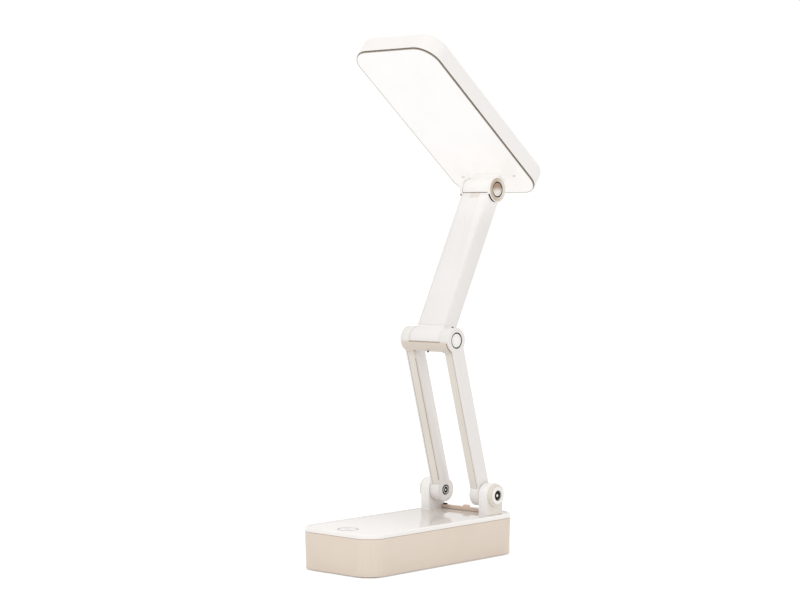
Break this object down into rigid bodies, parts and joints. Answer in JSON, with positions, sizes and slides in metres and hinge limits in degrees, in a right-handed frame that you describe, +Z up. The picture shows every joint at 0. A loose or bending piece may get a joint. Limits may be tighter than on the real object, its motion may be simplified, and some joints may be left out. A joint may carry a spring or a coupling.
{
  "type": "folding desk lamp",
  "caption": "Folding desk lamp: a weighted base block, a two-legged lower arm, a flat upper arm and a rectangular lamp head, joined by friction hinges so that it folds like an accordion.",
  "frame": {"origin": "middle of the rubber pad's underside, on the surface the lamp stands on", "axes": "+Z up, -Y towards the front with the touch ring, +X to the lamp's left as seen from behind; the hinges turn about X"},
  "size_m": [0.0774, 0.1921, 0.3788],
  "materials": {
    "rubber_pad": "matt moulded rubber",
    "beige_plastic": "fine satin beige plastic",
    "white_cover": "glossy white moulded plastic",
    "hinge_plastic": "glossy warm white hinge plastic",
    "gloss_panel": "high-gloss white panel",
    "touch_print": "grey light ring",
    "brass_contact": "bare contact disc",
    "circuit_board": "solder mask",
    "wire_sleeve": "insulated wire",
    "ballast_steel": "plain steel plate",
    "battery_can": "wrapped cell",
    "foam_saddle": "cell foam",
    "port_steel": "drawn steel shell",
    "screw_steel": "plated screw steel",
    "dark_steel": "blackened nuts, rings and screws",
    "washer_nylon": "friction nylon",
    "tan_plastic": "satin tan plastic",
    "white_arm": "satin white plastic",
    "warm_front": "satin warm white plastic",
    "pin_steel": "turned steel",
    "hinge_cap": "glossy white cap",
    "champagne_cap": "pale champagne lacquer",
    "white_head": "semi-gloss white shell",
    "champagne_trim": "champagne trim line",
    "opal_diffuser": "opal diffuser, lit",
    "aluminium_sheet": "mill-finish sheet",
    "led_phosphor": "phosphor package"
  },
  "bodies": {
    "base": {"anti_slip_pad": "rubber_pad", "base_tray": "beige_plastic", "base_cover": "white_cover", "top_panel": "gloss_panel", "touch_ring": "touch_print", "touch_contact": "brass_contact", "touch_board": "circuit_board", "touch_lead": "wire_sleeve", "ballast_plate": "ballast_steel", "battery_cell": "battery_can", "battery_cradle": "foam_saddle", "main_board": "circuit_board", "charging_port": "port_steel", "base_screws": "screw_steel", "bracket_screws": "screw_steel", "left_hinge_bracket": "hinge_plastic", "right_hinge_bracket": "hinge_plastic", "left_pivot_screw": "dark_steel", "right_pivot_screw": "dark_steel", "left_friction_washer": "washer_nylon", "right_friction_washer": "washer_nylon", "left_pivot_nut": "dark_steel", "right_pivot_nut": "dark_steel", "hinge_tie_bar": "tan_plastic", "tie_bar_screws": "dark_steel"},
    "lower_arm": {"left_leg_shell": "white_arm", "right_leg_shell": "white_arm", "left_leg_cover": "white_arm", "right_leg_cover": "white_arm", "lower_front_shell": "warm_front", "left_elbow_pin": "pin_steel", "right_elbow_pin": "pin_steel", "left_elbow_ring": "dark_steel", "right_elbow_ring": "dark_steel", "left_elbow_cap": "hinge_cap", "right_elbow_cap": "hinge_cap", "right_leg_lead": "wire_sleeve"},
    "upper_arm": {"upper_back_shell": "white_arm", "upper_front_shell": "white_arm", "elbow_friction_bushes": "washer_nylon", "left_head_pin": "pin_steel", "right_head_pin": "pin_steel", "left_head_ring": "dark_steel", "right_head_ring": "dark_steel", "left_head_cap": "champagne_cap", "right_head_cap": "champagne_cap", "upper_arm_lead": "wire_sleeve"},
    "lamp_head": {"head_back_shell": "white_head", "head_trim_ring": "champagne_trim", "diffuser": "opal_diffuser", "head_hinge_knuckle": "white_head", "head_friction_bushes": "washer_nylon", "head_screws": "screw_steel", "led_board": "circuit_board", "heat_spreader": "aluminium_sheet", "led_chips": "led_phosphor", "head_lead": "wire_sleeve"}
  },
  "joints": [
    {"name": "base_hinge", "type": "hinge", "parent": "base", "child": "lower_arm", "pos_m": [0, 0.057, 0.045], "axis": [1, 0, 0], "range_deg": [-10, 65]},
    {"name": "elbow_hinge", "type": "hinge", "parent": "lower_arm", "child": "upper_arm", "pos_m": [0, 0.02446, 0.15998], "axis": [1, 0, 0], "range_deg": [-114, 43]},
    {"name": "head_hinge", "type": "hinge", "parent": "upper_arm", "child": "lamp_head", "pos_m": [0, 0.08114, 0.27027], "axis": [1, 0, 0], "range_deg": [-20, 100.9]}
  ]
}
